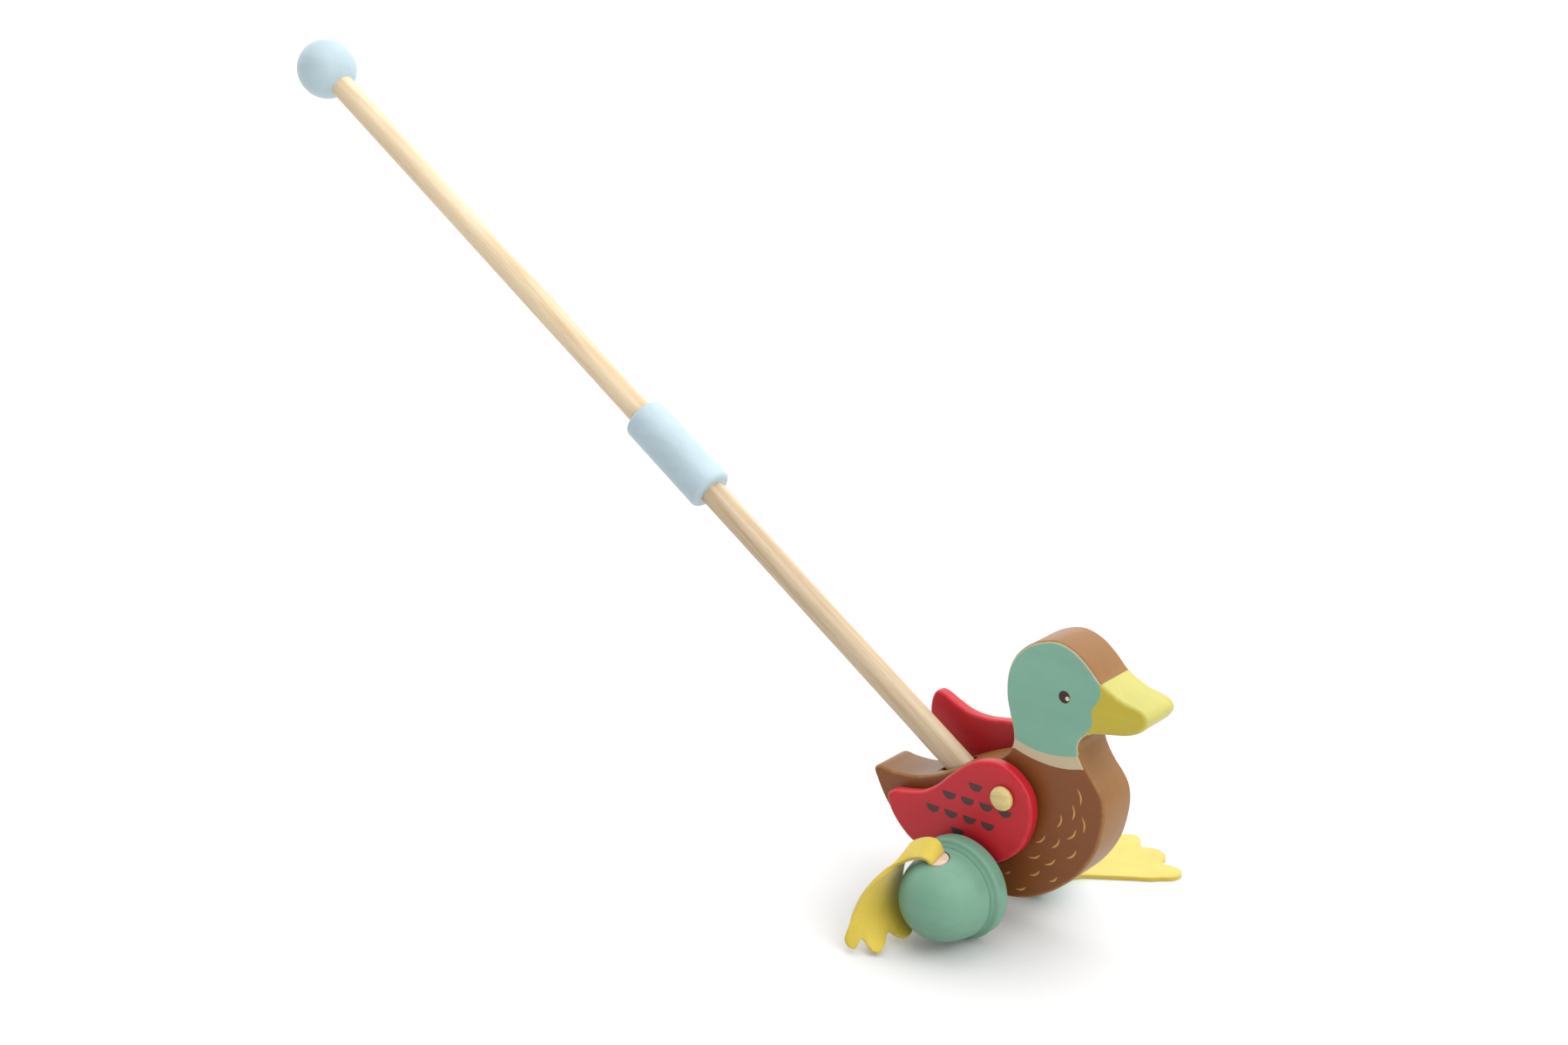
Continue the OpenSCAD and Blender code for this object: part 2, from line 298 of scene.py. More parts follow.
# turns an object's modifiers into a plain mesh
def bake(piece):
    bpy.context.view_layer.update()
    graph = bpy.context.evaluated_depsgraph_get()
    mesh = bpy.data.meshes.new_from_object(piece.evaluated_get(graph))
    piece.modifiers.clear()
    piece.data = mesh
    return piece


def smoothShade(mesh, angle=35):
    mesh.shade_smooth()
    mesh.set_sharp_from_angle(angle=math.radians(angle))


def drill(piece, radius, start, end):
    drillMesh = bpy.data.meshes.new("drill")
    work = bmesh.new()
    bmesh.ops.create_cone(work, cap_ends=True, segments=96, radius1=radius, radius2=radius,
                          depth=(end - start).length)
    work.to_mesh(drillMesh)
    work.free()
    turn = (end - start).to_track_quat("Z", "Y").to_matrix().to_4x4()
    drillMesh.transform(Matrix.Translation((start + end) / 2) @ turn)
    bit = newObject("drill", drillMesh)
    cut = piece.modifiers.new("cut", "BOOLEAN")
    cut.operation = "DIFFERENCE"
    cut.solver = "EXACT"
    cut.object = bit
    bake(piece)
    bpy.data.objects.remove(bit)


def finishPiece(piece, body, slotName, *nodes):
    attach(piece, body)
    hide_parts(*nodes)


# a new node tree with its named inputs, and the identifiers that a modifier sets them by
class Growth(NodeBoard):
    def __init__(self, name, sockets):
        super().__init__(bpy.data.node_groups.new(name, "GeometryNodeTree"))
        face = self.tree.interface
        face.new_socket("Geometry", in_out="INPUT", socket_type="NodeSocketGeometry")
        for label, kind in sockets.items():
            face.new_socket(label, in_out="INPUT", socket_type=kind)
        face.new_socket("Geometry", in_out="OUTPUT", socket_type="NodeSocketGeometry")
        self.source = self.tree.nodes.new("NodeGroupInput")
        self.identifiers = {item.name: item.identifier for item in face.items_tree
                            if item.in_out == "INPUT"}

    def given(self, label):
        return Wire(self, self.source.outputs[label])

    def end(self, geometry):
        single = self.add("GeometryNodeRealizeInstances", None, {"Geometry": geometry})
        values = {"Geometry": single, "Material": self.given("Finish")}
        coated = self.add("GeometryNodeSetMaterial", None, values)
        last = self.tree.nodes.new("NodeGroupOutput")
        self.feed(last.inputs["Geometry"], coated)

    def grow(self, piece, choices):
        modifier = piece.modifiers.new("growth", "NODES")
        modifier.node_group = self.tree
        for label, value in choices.items():
            modifier[self.identifiers[label]] = value
        bake(piece)


# a round piece: a line with a girth at each point, swept by a circle
def makeLathe():
    lathe = Growth("turned piece", {"Sides": "NodeSocketInt", "Finish": "NodeSocketMaterial"})
    path = lathe.add("GeometryNodeMeshToCurve", None, {"Mesh": lathe.given("Geometry")})
    girth = lathe.add("GeometryNodeInputNamedAttribute", {"data_type": "FLOAT"}, {"Name": "girth"},
                      "Attribute")
    circle = lathe.add("GeometryNodeCurvePrimitiveCircle", None,
                       {"Resolution": lathe.given("Sides"), "Radius": 1.0}, "Curve")
    skin = lathe.add("GeometryNodeCurveToMesh", None,
                     {"Curve": path, "Profile Curve": circle, "Scale": girth, "Fill Caps": True})
    lathe.end(skin)
    return lathe


lathe = makeLathe()


def linesMesh(name, lines):
    mesh = bpy.data.meshes.new(name)
    points = [point for line in lines for point, girth in line]
    edges = []
    for line in lines:
        first = sum(len(other) for other in lines[:lines.index(line)])
        edges += [(first + i, first + i + 1) for i in range(len(line) - 1)]
    mesh.from_pydata(points, edges, [])
    girths = mesh.attributes.new("girth", "FLOAT", "POINT")
    girths.data.foreach_set("value", [girth for line in lines for point, girth in line])
    return mesh


# profile: pairs of distance along the axis and radius, in millimetres
def turnPiece(name, profile, start, along, material, sides=96, angle=35):
    line = [(Vector((0, 0, distance * mm)), radius * mm) for distance, radius in profile]
    piece = newObject(name, linesMesh(name, [line]))
    lathe.grow(piece, {"Sides": sides, "Finish": material})
    turn = along.to_track_quat("Z", "Y").to_matrix().to_4x4()
    piece.data.transform(Matrix.Translation(start) @ turn)
    smoothShade(piece.data, angle)
    return piece


def quarter(middleAlong, middleGirth, radius, first, last, steps=6):
    turns = [math.radians(first + (last - first) * i / steps) for i in range(steps + 1)]
    return [(middleAlong + radius * math.sin(a), middleGirth + radius * math.cos(a)) for a in turns]


# push rod, its sleeve and the ball grip
rodSetup = {"lean": 34.0,  # degrees up from the floor
            "reach": 602.0, "radius": 7.5, "depth": 34.0, "easedEnd": 0.8, "steps": 24,
            "footGap": 0.3, "middleGap": 0.4,
            "sleeveMiddle": 245.0, "sleeveLength": 64.0, "sleeveRadius": 13.5, "sleeveRound": 3.0,
            "ballRadius": 18.75,
            "mouth": 9.5, "mouthDepth": 9.0, "drillRun": 30.0}
rodLean = math.radians(rodSetup["lean"])
rodWay = Vector((-math.cos(rodLean), 0, math.sin(rodLean)))
ballCentre = middleOf("ball_knob")
rodFoot = ballCentre - rodWay * rodSetup["reach"] * mm
# both rod halves are the same wood: the lower is darker as painted shade, the upper lighter as painted
# light
lowerRodWoodPaintedShade = naturalWood("lower rod wood", tint(195, 175, 147), tint(168, 143, 109), rodWay, (0.013, 0, 0))
upperRodWoodPaintedLight = naturalWood("upper rod wood", tint(213, 193, 161), tint(186, 158, 120), rodWay, (0.4, 0.1, 0))


def makeRodHalf(name, first, last, material):
    eased = rodSetup["easedEnd"]
    radius = rodSetup["radius"]
    profile = [(first, radius - eased), (first + eased, radius)]
    steps = rodSetup["steps"]
    profile += [(first + eased + (last - first - 2 * eased) * i / steps, radius)
                for i in range(1, steps)]
    profile += [(last - eased, radius), (last, radius - eased)]
    return turnPiece(name, profile, rodFoot, rodWay, material, 64)


def makeSleeve():
    half = rodSetup["sleeveLength"] / 2
    corner = rodSetup["sleeveRound"]
    girth = rodSetup["sleeveRadius"] - corner
    profile = quarter(corner - half, girth, corner, -90, 0) + quarter(half - corner, girth, corner, 0, 90)
    start = rodFoot + rodWay * rodSetup["sleeveMiddle"] * mm
    return turnPiece("sleeve", profile, start, rodWay, blueFinish, 96)


def makeBall():
    radius = rodSetup["ballRadius"]
    turns = [math.radians(-89.5 + 179 * i / 56) for i in range(57)]
    profile = [(radius * math.sin(a), radius * math.cos(a)) for a in turns]
    return turnPiece("ballGrip", profile, ballCentre, rodWay, blueFinish, 96, 60)


lowerStart = rodSetup["footGap"] - rodSetup["depth"]
upperStart = rodSetup["sleeveMiddle"] + rodSetup["middleGap"]
finishPiece(makeRodHalf("lowerRod", lowerStart, rodSetup["sleeveMiddle"], lowerRodWoodPaintedShade),
            "duck", "rod_wood", "rod_lower")
finishPiece(makeRodHalf("upperRod", upperStart, rodSetup["reach"], upperRodWoodPaintedLight),
            "duck", "rod_wood", "rod_upper")
finishPiece(makeSleeve(), "duck", "blue_paint", "rod_sleeve")
finishPiece(makeBall(), "duck", "blue_paint", "ball_knob")
print("push rod made")


# outlines, in millimetres, in the plane of the boards
def curvePoint(p, q, r, s, t):
    return 0.5 * ((2 * q) + (r - p) * t + (2 * p - 5 * q + 4 * r - s) * t * t
                  + (3 * q - p - 3 * r + s) * t * t * t)


def closedCurve(corners, steps):
    points = [Vector(c) for c in corners]
    count = len(points)
    return [curvePoint(points[i - 1], points[i], points[(i + 1) % count], points[(i + 2) % count],
                       k / steps) for i in range(count) for k in range(steps)]


def openCurve(corners, steps=8):
    points = [Vector(c) for c in corners]
    ends = [2 * points[0] - points[1]] + points + [2 * points[-1] - points[-2]]
    line = [curvePoint(*ends[i:i + 4], k / steps) for i in range(len(points) - 1) for k in range(steps)]
    return line + [points[-1]]


def evenly(points, spacing):
    loop = points + [points[0]]
    lengths = [0.0]
    for a, b in zip(loop, loop[1:]):
        lengths.append(lengths[-1] + (b - a).length)
    count = round(lengths[-1] / spacing)
    even = []
    place = 0
    for i in range(count):
        wanted = lengths[-1] * i / count
        while lengths[place + 1] < wanted:
            place += 1
        share = (wanted - lengths[place]) / (lengths[place + 1] - lengths[place])
        even.append(loop[place].lerp(loop[place + 1], share))
    return even


def outwards(points):
    result = []
    for i in range(len(points)):
        way = (points[(i + 1) % len(points)] - points[i - 1]).normalized()
        result.append(Vector((-way.y, way.x)))
    return result


# how far each point's edge can be rounded without the rounding folding over a tight corner
def easeAt(points, ease):
    count = len(points)
    limits = []
    for i in range(count):
        a, b, c = points[i - 3], points[i], points[(i + 3) % count]
        area = abs((b - a).cross(c - a)) / 2
        bend = 4 * area / ((b - a).length * (c - b).length * (c - a).length)
        limits.append(min(ease, 0.8 / max(bend, 1e-6)))
    for _ in range(6):
        limits = [min(limits[i], (limits[i - 1] + limits[i] + limits[(i + 1) % count]) / 3)
                  for i in range(count)]
    return limits


def insideLoop(point, loop):
    inside = False
    for a, b in zip(loop, loop[1:] + loop[:1]):
        if (a.y > point.y) != (b.y > point.y):
            if point.x < a.x + (point.y - a.y) * (b.x - a.x) / (b.y - a.y):
                inside = not inside
    return inside


# splits a flat face along painted lines: triangles, each with the paint that patchAt gives
def splitFace(ring, lines, patchAt):
    points = list(ring)
    edges = [(i, (i + 1) % len(ring)) for i in range(len(ring))]
    for line in lines:
        first = len(points)
        points += line
        edges += [(first + i, first + i + 1) for i in range(len(line) - 1)]
    found = delaunay_2d_cdt(points, edges, [], 0, 1e-4)
    corners, triangles = found[0], found[2]
    kept = []
    for triangle in triangles:
        centre = sum((corners[i] for i in triangle), Vector((0, 0))) / 3
        if insideLoop(centre, ring):
            kept.append((triangle, patchAt(centre)))
    return corners, kept


# a board with rounded edges; rimPatch gives the paint at a point of the outline,
# band by band from the flat face round the edge (the last band is the straight rim)
def buildBoard(name, outline, half, ease, lines, patchAt, rimPatch, materials):
    eases = easeAt(outline, ease)
    normals = outwards(outline)
    steps = 6
    work = bmesh.new()
    edgeLayer = work.verts.layers.float.new("edge")
    rings = []
    for side in (1, -1):
        angles = [90 - 90 * k / steps for k in range(steps + 1)]
        for angle in (angles if side == 1 else angles[::-1]):
            rise = math.sin(math.radians(angle))
            draw = 1 - math.cos(math.radians(angle))
            ring = []
            for point, normal, eased in zip(outline, normals, eases):
                flat = point - normal * eased * draw
                height = side * (half - eased * (1 - rise))
                vertex = work.verts.new((flat.x * mm, height * mm, flat.y * mm))
                vertex[edgeLayer] = math.sin(math.radians(2 * angle))
                ring.append(vertex)
            rings.append(ring)
    count = len(outline)
    for place, (upper, lower) in enumerate(zip(rings, rings[1:])):
        band = min(place, 2 * steps - place)
        for i in range(count):
            j = (i + 1) % count
            face = work.faces.new((upper[i], upper[j], lower[j], lower[i]))
            face.material_index = rimPatch(i, band)
            face.smooth = True
    flatRing = [point - normal * eased for point, normal, eased in zip(outline, normals, eases)]
    corners, triangles = splitFace(flatRing, lines(flatRing), patchAt)
    for side, ring in ((1, rings[0]), (-1, rings[-1])):
        vertices = []
        for corner in corners:
            nearest = min(range(count), key=lambda i: (flatRing[i] - corner).length_squared)
            if (flatRing[nearest] - corner).length < 1e-3:
                vertices.append(ring[nearest])
            else:
                vertices.append(work.verts.new((corner.x * mm, side * half * mm, corner.y * mm)))
        for triangle, patch in triangles:
            face = work.faces.new([vertices[i] for i in triangle])
            face.material_index = patch
            face.smooth = False
    bmesh.ops.recalc_face_normals(work, faces=work.faces)
    mesh = bpy.data.meshes.new(name)
    work.to_mesh(mesh)
    work.free()
    for material in materials:
        mesh.materials.append(material)
    return newObject(name, mesh)


# the duck's board: outline and painted lines as (forward, up) in millimetres
bodySetup = {
    "half": 14.0, "ease": 2.3, "spacing": 1.1,
    "outline": [(-71.3, 70.5), (-68, 73), (-60, 72.4), (-48, 73.2), (-36, 76.4), (-26, 80.8),
                (-15, 87), (-4, 92.5), (7, 97.5), (14.5, 103.5), (18.5, 110.5), (18.6, 118),
                (16, 127), (13.8, 137), (14.2, 149), (18, 159), (25, 166.5), (34, 171.5),
                (44, 173.7), (54, 171), (62.5, 165), (69.5, 158), (76, 154.2), (83, 151.2),
                (90, 149.8), (95.5, 147.6), (97.6, 143.3), (94, 137.4), (87, 133.4), (78, 131.2),
                (69, 129.4), (64, 127.4), (60, 123.4), (58.8, 118.6), (61.2, 112.6), (65.7, 106),
                (70.5, 100.6), (74, 95), (75.5, 88), (75, 79), (72.3, 66.8), (67.5, 56.4),
                (60.5, 46.5), (51.5, 37.7), (41.6, 30.1), (31.4, 24.7), (20, 21.6), (4, 20.3),
                (-12, 22), (-27, 27), (-41.5, 34.3), (-54, 43.6), (-63.3, 54.4), (-69, 64.5)],
    "beakLine": [(69.5, 158), (70.2, 152), (68.8, 147.2), (65.6, 142), (66.2, 135), (64, 127.9)],
    "collarTop": [(19, 114.5), (27, 112.2), (36, 111), (46, 111.6), (58.8, 114.4)],
    "collarFoot": [(17.5, 110), (24, 107.6), (33, 105.8), (43, 105.1), (53, 106), (63.6, 108.9)],
    "eye": (49.3, 145.0), "eyeRadius": 3.4, "glint": (51.1, 144.5), "glintRadius": 1.2,
    "headBands": 2,  # how far the face paint wraps round the rounded edge
    "marks": [(17.6, 109.5), (18.6, 114.2), (70.2, 157.6), (63.8, 127.2), (59.6, 115.6),
              (63.4, 109.4)]}
# rim and beak rim paints are lighter copies of the brown and yellow: painted highlight
paintNames = ["brown", "teal", "cream", "yellow", "pupil", "glint", "rim", "beakRimPaintedHighlight"]


def nearestOn(ring, place):
    goal = Vector(place)
    return min(range(len(ring)), key=lambda i: (ring[i] - goal).length_squared)


def snapped(ring, corners):
    line = openCurve(corners)
    line[0] = ring[nearestOn(ring, corners[0])]
    line[-1] = ring[nearestOn(ring, corners[-1])]
    return line


def heightOn(line, x):
    for a, b in zip(line, line[1:]):
        if a.x <= x <= b.x:
            return a.y + (b.y - a.y) * (x - a.x) / max(b.x - a.x, 1e-6)
    return line[0].y if x < line[0].x else line[-1].y


def circleLine(centre, radius, count=40):
    turns = [2 * math.pi * (i % count) / count for i in range(count + 1)]
    return [Vector(centre) + radius * Vector((math.cos(a), math.sin(a))) for a in turns]


class DuckPaint:
    def lines(self, ring):
        self.beak = snapped(ring, bodySetup["beakLine"])
        self.collarTop = snapped(ring, bodySetup["collarTop"])
        self.collarFoot = snapped(ring, bodySetup["collarFoot"])
        return [self.beak, self.collarTop, self.collarFoot,
                circleLine(bodySetup["eye"], bodySetup["eyeRadius"]),
                circleLine(bodySetup["glint"], bodySetup["glintRadius"], 24)]

    def patchAt(self, place):
        if (place - Vector(bodySetup["glint"])).length < bodySetup["glintRadius"]:
            return paintNames.index("glint")
        if (place - Vector(bodySetup["eye"])).length < bodySetup["eyeRadius"]:
            return paintNames.index("pupil")
        beak = [Vector((-p.y, p.x)) for p in self.beak]
        if place.y > self.beak[-1].y and place.x > heightOn(beak, -place.y):
            return paintNames.index("yellow")
        if place.x < self.collarFoot[0].x - 3 or place.x > self.collarFoot[-1].x + 3:
            inHead = place.y > self.collarTop[0].y
            return paintNames.index("teal" if inHead else "brown")
        if place.y > heightOn(self.collarTop, place.x):
            return paintNames.index("teal")
        if place.y > heightOn(self.collarFoot, place.x):
            return paintNames.index("cream")
        return paintNames.index("brown")


# paint on the rounded edge and the rim, following on from the lines on the face; the straight rim takes
# lighter brown and yellow paints, a painted highlight
class RimPaint:
    def __init__(self, outline):
        self.marks = [nearestOn(outline, place) for place in bodySetup["marks"]]

    def patchAt(self, i, band):
        collarFoot, collarTop, beakTop, beakFoot, throatTop, throatFoot = self.marks
        onEdge = band < bodySetup["headBands"]
        # the beak's straight rim takes the paler yellow, a painted highlight
        if beakTop <= i < beakFoot:
            return paintNames.index("yellow" if onEdge else "beakRimPaintedHighlight")
        if collarTop <= i < beakTop or beakFoot <= i < throatTop:
            if onEdge:
                return paintNames.index("teal")
            return paintNames.index("cream" if band == bodySetup["headBands"] else "rim")
        if collarFoot <= i < collarTop or throatTop <= i < throatFoot:
            return paintNames.index("cream" if onEdge else "rim")
        return paintNames.index("brown" if onEdge else "rim")


def makeBody():
    outline = evenly(closedCurve(bodySetup["outline"], 8), bodySetup["spacing"])
    paint = DuckPaint()
    body = buildBoard("duckBody", outline, bodySetup["half"], bodySetup["ease"], paint.lines,
                      paint.patchAt, RimPaint(outline).patchAt,
                      [bodyFinishes[name] for name in paintNames])
    drill(body, rodSetup["mouth"] * mm, rodFoot - rodWay * rodSetup["mouthDepth"] * mm,
          rodFoot + rodWay * rodSetup["drillRun"] * mm)
    return body


finishPiece(makeBody(), "duck", "body_paint", "duck_body")
print("body made")


# feather strokes on both sides of the breast: tapered curved lines of paint
strokeSetup = {
    "ends": [((59.2, 96.9), (61.6, 88.3)), ((56.8, 87.1), (57.2, 78.5)), ((50.3, 79.5), (48.2, 71.6)),
             ((62.9, 81.8), (64, 73.3)), ((59.6, 73.8), (54.6, 66.9)), ((50.1, 65.8), (45.5, 59)),
             ((41.3, 64.9), (35.5, 59)), ((60.4, 62.4), (54.9, 56)), ((48.1, 53.3), (41.5, 48.1)),
             ((38.8, 52.8), (31.6, 49.4)), ((49.6, 43.5), (45, 39.4)), ((38.9, 43.7), (32.5, 39)),
             ((30.7, 31.3), (24.5, 28.3)), ((20.6, 37.5), (17.2, 35.1))],
    "girth": 0.5, "bow": 0.14, "thickness": 0.14, "steps": 12}


def makeStrokeGrowth():
    growth = Growth("painted strokes", {"Face": "NodeSocketFloat", "Thickness": "NodeSocketFloat",
                                        "Finish": "NodeSocketMaterial"})
    path = growth.add("GeometryNodeMeshToCurve", None, {"Mesh": growth.given("Geometry")})
    girth = growth.add("GeometryNodeInputNamedAttribute", {"data_type": "FLOAT"},
                       {"Name": "girth"}, "Attribute")
    circle = growth.add("GeometryNodeCurvePrimitiveCircle", None, {"Resolution": 8, "Radius": 1.0},
                        "Curve")
    tube = growth.add("GeometryNodeCurveToMesh", None,
                      {"Curve": path, "Profile Curve": circle, "Scale": girth, "Fill Caps": True})
    # each stroke is squeezed towards the face it lies on
    split = growth.add("ShaderNodeSeparateXYZ", None,
                       {"Vector": growth.add("GeometryNodeInputPosition")})
    outs = split.socket.node.outputs
    across = Wire(growth, outs["Y"])
    side = growth.add("ShaderNodeMath", {"operation": "SIGN"}, {0: across})
    face = side * growth.given("Face")
    flat = face + (across - face) * growth.given("Thickness")
    moved = growth.add("ShaderNodeCombineXYZ", None,
                       {"X": Wire(growth, outs["X"]), "Y": flat, "Z": Wire(growth, outs["Z"])})
    growth.end(growth.add("GeometryNodeSetPosition", None, {"Geometry": tube, "Position": moved}))
    return growth


def strokeLine(ends, side):
    first, last = (Vector(end) for end in ends)
    bow = Vector((first.y - last.y, last.x - first.x))
    line = []
    for i in range(strokeSetup["steps"] + 1):
        share = i / strokeSetup["steps"]
        flat = first.lerp(last, share) + bow * strokeSetup["bow"] * math.sin(math.pi * share)
        girth = strokeSetup["girth"] * (0.08 + math.sin(math.pi * share) ** 0.7)
        line.append((Vector((flat.x, side * bodySetup["half"], flat.y)) * mm, girth * mm))
    return line


def makeStrokes():
    lines = [strokeLine(ends, side) for side in (-1, 1) for ends in strokeSetup["ends"]]
    piece = newObject("featherStrokes", linesMesh("featherStrokes", lines))
    makeStrokeGrowth().grow(piece, {"Face": bodySetup["half"] * mm,
                                    "Thickness": strokeSetup["thickness"], "Finish": strokeFinish})
    smoothShade(piece.data, 60)
    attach(piece, "duck")


makeStrokes()
print("feather strokes painted")


# wings, about their pivots, in the low position
wingSetup = {
    "thickness": 8.0, "ease": 2.2, "spacing": 1.0,
    "outline": [(-75.6, -21.8), (-72.5, -17.6), (-62.5, -15.3), (-53.1, -12.5), (-43.9, -6.4),
                (-34.9, 2.5), (-26, 10.4), (-19, 14.8), (-11.2, 17.3), (-4.1, 17.8), (2.4, 16.2),
                (8.4, 12.6), (13.9, 6.7), (16.6, 0.5), (17.4, -7.2), (16, -15.8), (11.1, -27.1),
                (1, -36.7), (-11, -42.6), (-25, -46), (-40, -46.8), (-55.4, -44.3),
                (-64.2, -39.3), (-72.2, -30.6)],
    "markWidth": 8.6, "markDepth": 4.3, "markThickness": 0.05, "markSpacing": 11.8,
    "markRows": [(-17.5, 2.6, 1), (-34.2, -6.8, 4), (-44.6, -17.4, 4), (-28.4, -26.4, 1)]}


def makeMarkGrowth():
    growth = Growth("half-moon marks", {"Width": "NodeSocketFloat", "Depth": "NodeSocketFloat",
                                        "Thickness": "NodeSocketFloat",
                                        "Finish": "NodeSocketMaterial"})
    points = growth.add("GeometryNodeMeshToPoints", None, {"Mesh": growth.given("Geometry")})
    arc = growth.add("GeometryNodeCurveArc", {"mode": "RADIUS"},
                     {"Resolution": 24, "Radius": 1.0, "Start Angle": math.pi,
                      "Sweep Angle": math.pi, "Connect Center": False}, "Curve")
    closed = growth.add("GeometryNodeSetSplineCyclic", None, {"Geometry": arc, "Cyclic": True})
    disc = growth.add("GeometryNodeFillCurve", {"mode": "NGONS"}, {"Curve": closed})
    size = growth.add("ShaderNodeCombineXYZ", None,
                      {"X": growth.given("Width") * 0.5, "Y": growth.given("Depth"), "Z": 1.0})
    flat = growth.add("GeometryNodeTransform", None, {"Geometry": disc, "Scale": size})
    solid = growth.add("GeometryNodeExtrudeMesh", None,
                       {"Mesh": flat, "Offset Scale": growth.given("Thickness"),
                        "Individual": False})
    turned = growth.add("FunctionNodeEulerToRotation", None, {"Euler": (math.pi / 2, 0, 0)})
    stamps = growth.add("GeometryNodeInstanceOnPoints", None,
                        {"Points": points, "Instance": solid, "Rotation": turned})
    growth.end(stamps)
    return growth


markGrowth = makeMarkGrowth()


def markPoints(face):
    places = []
    for first, height, count in wingSetup["markRows"]:
        for i in range(count):
            places.append(Vector((first + i * wingSetup["markSpacing"], -face, height)) * mm)
    return places


def makeWing(name, jointName, node, body, side, raised):
    low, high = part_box(node)
    half = wingSetup["thickness"] / 2
    outline = evenly(closedCurve(wingSetup["outline"], 8), wingSetup["spacing"])
    wing = buildBoard(name, outline, half, wingSetup["ease"], lambda ring: [], lambda place: 0,
                      lambda i, band: 0, [redFinish])
    pivot = jointPlace(jointName)
    centre = Vector((pivot.x, (low.y + high.y) / 2, pivot.z))
    settle = Matrix.Translation(centre) @ Matrix.Rotation(math.radians(raised), 4, "Y")
    wing.data.transform(settle)
    finishPiece(wing, body, "red_paint", node)
    marks = newObject(name + "Marks", linesMesh(name + "Marks", [[(p, mm)] for p in markPoints(half)]))
    markGrowth.grow(marks, {"Width": wingSetup["markWidth"] * mm, "Depth": wingSetup["markDepth"] * mm,
                            "Thickness": wingSetup["markThickness"] * mm, "Finish": markFinish})
    if side == 1:
        marks.data.transform(Matrix.Scale(-1, 4, (0, 1, 0)))
        marks.data.flip_normals()
    marks.data.transform(settle)
    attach(marks, body)


makeWing("rightWing", "wing_flap_right", "wing_right", "right_wing", -1, 0)
makeWing("leftWing", "wing_flap_left", "wing_left", "left_wing", 1, -jointRange("wing_flap_left")[0])
print("wings made")


# domed pegs that hold the wings
pegSetup = {"head": 6.6, "rise": 4.6, "rim": 1.6, "lip": 0.5, "stem": 4.0, "fullness": 0.8}


def makePeg(name, node, side):
    low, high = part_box(node)
    tip = high.y if side == 1 else -low.y
    length = (high.y - low.y) / mm
    under = length - pegSetup["rise"]
    head = pegSetup["head"]
    profile = [(0, pegSetup["stem"] - 0.4), (0.4, pegSetup["stem"]), (under - 0.2, pegSetup["stem"]),
               (under, head - pegSetup["lip"]), (under + pegSetup["lip"], head)]
    turns = [math.radians(90 * i / 14) for i in range(14)]
    profile += [(under + pegSetup["rim"] + (pegSetup["rise"] - pegSetup["rim"]) * math.sin(a),
                 head * math.cos(a) ** pegSetup["fullness"]) for a in turns]
    profile.append((length, 0.05))
    centre = middleOf(node)
    start = Vector((centre.x, side * (tip - length * mm), centre.z))
    peg = turnPiece(name, profile, start, Vector((0, side, 0)), pegWood, 64, 50)
    finishPiece(peg, "duck", "peg_wood", node)


makePeg("rightPeg", "wing_peg_right", -1)
makePeg("leftPeg", "wing_peg_left", 1)
print("pegs made")


# wheels: a rim, a soft groove and an egg-shaped dome, drilled for the strap
wheelSetup = {
    "rim": 28.5, "rimWidth": 9.5, "innerEase": 1.5, "outerEase": 2.8,
    "crease": [(-1.9, 0.4), (-1.2, -0.05), (-0.8, -0.9), (-0.1, -1.15), (0.3, -0.6), (0.7, -0.05)],
    "dome": 25.2, "domeStart": 12.0, "domeLength": 31.0, "fullness": 0.9, "domeSteps": 34,
    "hole": 6.5, "holeDepth": 11.0, "holeSide": 50.0, "holeOut": 23.9,
    "holeTilt": 15.0, "holeTurn": -3.6, "yaw": 62.0,  # degrees; yaw splays the left foot
    "drillRun": 12.0, "plugGap": 0.65, "plugSink": 0.45, "plugFoot": 0.3}


def wheelProfile():
    rim = wheelSetup["rim"]
    inner = wheelSetup["innerEase"]
    outer = wheelSetup["outerEase"]
    profile = quarter(inner, rim - inner, inner, -90, 0)
    profile += quarter(wheelSetup["rimWidth"] - outer, rim - outer, outer, 0, 75, 8)
    foot = wheelSetup["dome"]
    start = wheelSetup["domeStart"]
    profile += [(start + along, foot + girth) for along, girth in wheelSetup["crease"]]
    steps = wheelSetup["domeSteps"]
    length = wheelSetup["domeLength"]
    for i in range(steps):
        turn = math.radians(5 + 85 * i / steps)
        girth = foot * math.cos(turn) ** wheelSetup["fullness"]
        profile.append((start + length * math.sin(turn), girth))
    profile.append((start + length, 0.05))
    return profile


def holeFrame(side):
    turn = wheelSetup["holeTurn"] + (0 if side == -1 else 180)
    spin = 0 if side == -1 else -wheelSetup["yaw"]
    axle = Matrix.Translation((0, 0, jointPlace("wheels_roll").z))
    out = Matrix.Translation((0, side * wheelSetup["holeSide"] * mm, wheelSetup["holeOut"] * mm))
    return (axle @ Matrix.Rotation(math.radians(turn), 4, "Y") @ out
            @ Matrix.Rotation(math.radians(-side * wheelSetup["holeTilt"]), 4, "X")
            @ Matrix.Rotation(math.radians(spin), 4, "Z"))


def makeWheel(name, node, side):
    low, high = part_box(node)
    inner = low.y if side == 1 else high.y
    start = Vector((0, inner, jointPlace("wheels_roll").z))
    wheel = turnPiece(name, wheelProfile(), start, Vector((0, side, 0)), greenFinish, 128, 50)
    hole = holeFrame(side)
    bottom = hole @ Vector((0, 0, -wheelSetup["holeDepth"] * mm))
    drill(wheel, wheelSetup["hole"] * mm, bottom, hole @ Vector((0, 0, wheelSetup["drillRun"] * mm)))
    smoothShade(wheel.data, 40)
    finishPiece(wheel, "wheelset", "green_paint", node)


